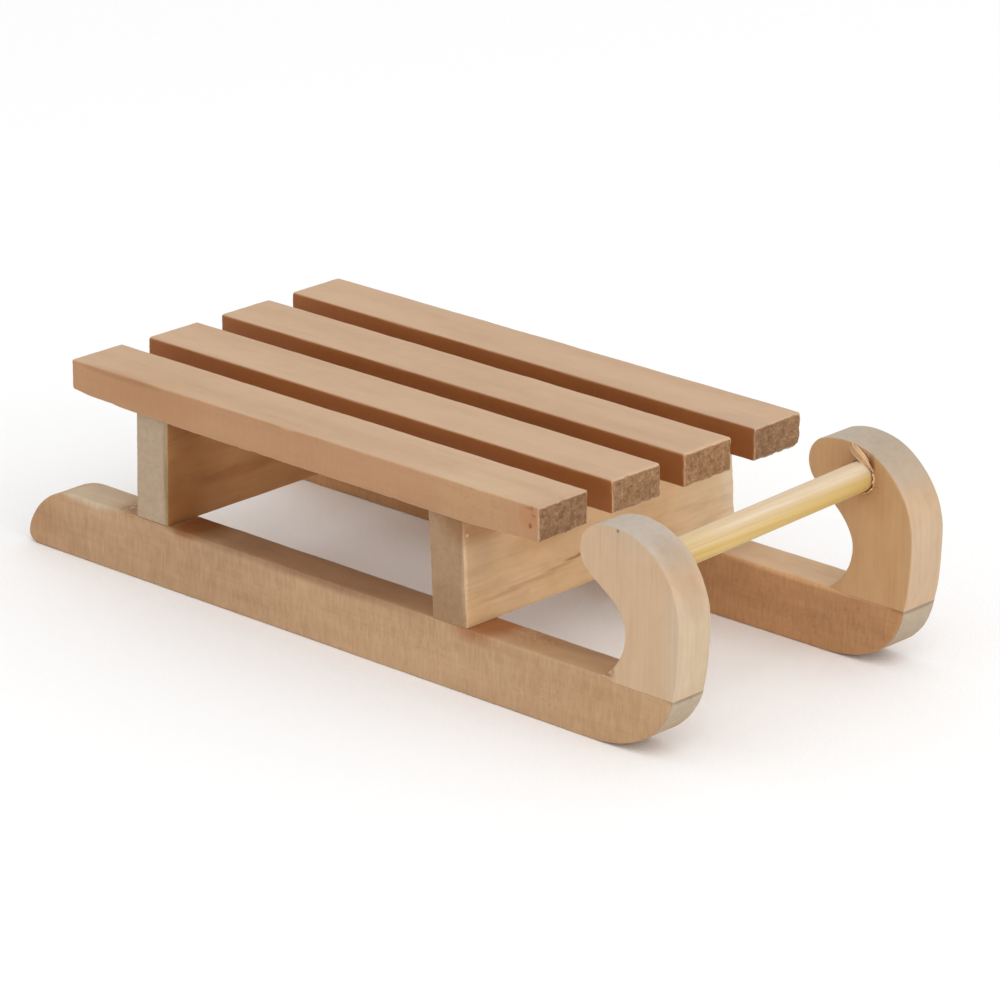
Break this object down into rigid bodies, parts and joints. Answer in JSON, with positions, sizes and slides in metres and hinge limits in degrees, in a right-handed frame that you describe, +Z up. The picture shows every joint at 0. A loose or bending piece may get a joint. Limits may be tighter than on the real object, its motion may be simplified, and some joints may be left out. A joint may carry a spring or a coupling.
{
  "type": "toboggan",
  "caption": "Small wooden sled with a slatted seat on upright cross boards, flat runners with curled horns, and a round crossbar.",
  "frame": {"origin": "on the ground at the centre of the sled's bounding box", "axes": "+X forward towards the curled horns, +Y to the rider's left, +Z up"},
  "size_m": [0.2124, 0.0928, 0.0524],
  "materials": {
    "runner_wood": "sawn and lightly sanded",
    "horn_wood": "sanded",
    "board_wood": "planed",
    "slat_wood": "planed smooth, unfinished",
    "dowel_wood": "turned, unfinished",
    "brad_steel": "drawn wire"
  },
  "bodies": {
    "root": {"runner_right": "runner_wood", "horn_right": "horn_wood", "runner_left": "runner_wood", "horn_left": "horn_wood", "cross_board_rear": "board_wood", "cross_board_front": "board_wood", "seat_slat_1": "slat_wood", "seat_slat_2": "slat_wood", "seat_slat_3": "slat_wood", "seat_slat_4": "slat_wood", "crossbar": "dowel_wood", "brad_rear_board_right": "brad_steel", "brad_front_board_right": "brad_steel", "brad_horn_right": "brad_steel", "brad_rear_board_left": "brad_steel", "brad_front_board_left": "brad_steel", "brad_horn_left": "brad_steel"}
  },
  "joints": []
}
